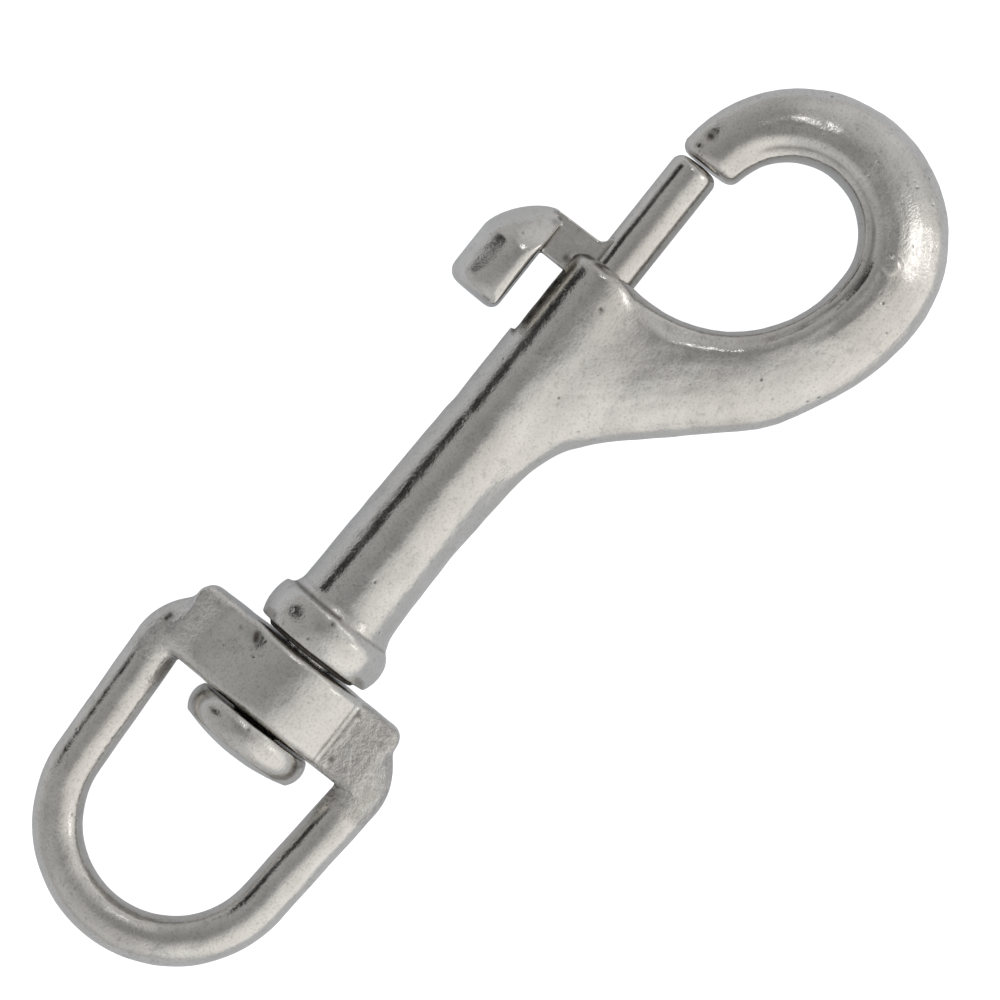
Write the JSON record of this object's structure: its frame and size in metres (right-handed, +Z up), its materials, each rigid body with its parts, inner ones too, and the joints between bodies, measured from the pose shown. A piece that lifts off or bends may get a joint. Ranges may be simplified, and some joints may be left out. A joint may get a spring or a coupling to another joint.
{
  "type": "swivel snap hook",
  "caption": "Cast stainless snap hook: a spring bolt with a thumb lever shuts a round hook, and a D-shaped eye swivels on a headed pin at the back of the barrel.",
  "frame": {"origin": "middle of the bottom face of the object's box, with the object lying flat", "axes": "+X along the barrel from the eye to the hook, +Y to the thumb lever's side, +Z up, square to the hook's plane"},
  "size_m": [0.114, 0.0424, 0.0138],
  "materials": {
    "cast_stainless": "tumbled satin casting",
    "spring_wire": "drawn wire"
  },
  "bodies": {
    "hook": {"hook_body": "cast_stainless", "bolt_spring": "spring_wire", "swivel_pin": "cast_stainless"},
    "bolt": {"sliding_bolt": "cast_stainless"},
    "eye": {"swivel_eye": "cast_stainless"}
  },
  "joints": [
    {"name": "bolt_slide", "type": "slide", "parent": "hook", "child": "bolt", "axis": [-1, 0, 0], "range_m": [0, 0.0074], "stiffness_N_per_m": 500, "springref_m": -0.006, "deforming": ["bolt_spring"]},
    {"name": "eye_swivel", "type": "hinge", "parent": "hook", "child": "eye", "pos_m": [-0.0254, 0.00608, 0.0069], "axis": [1, 0, 0], "continuous": true}
  ]
}
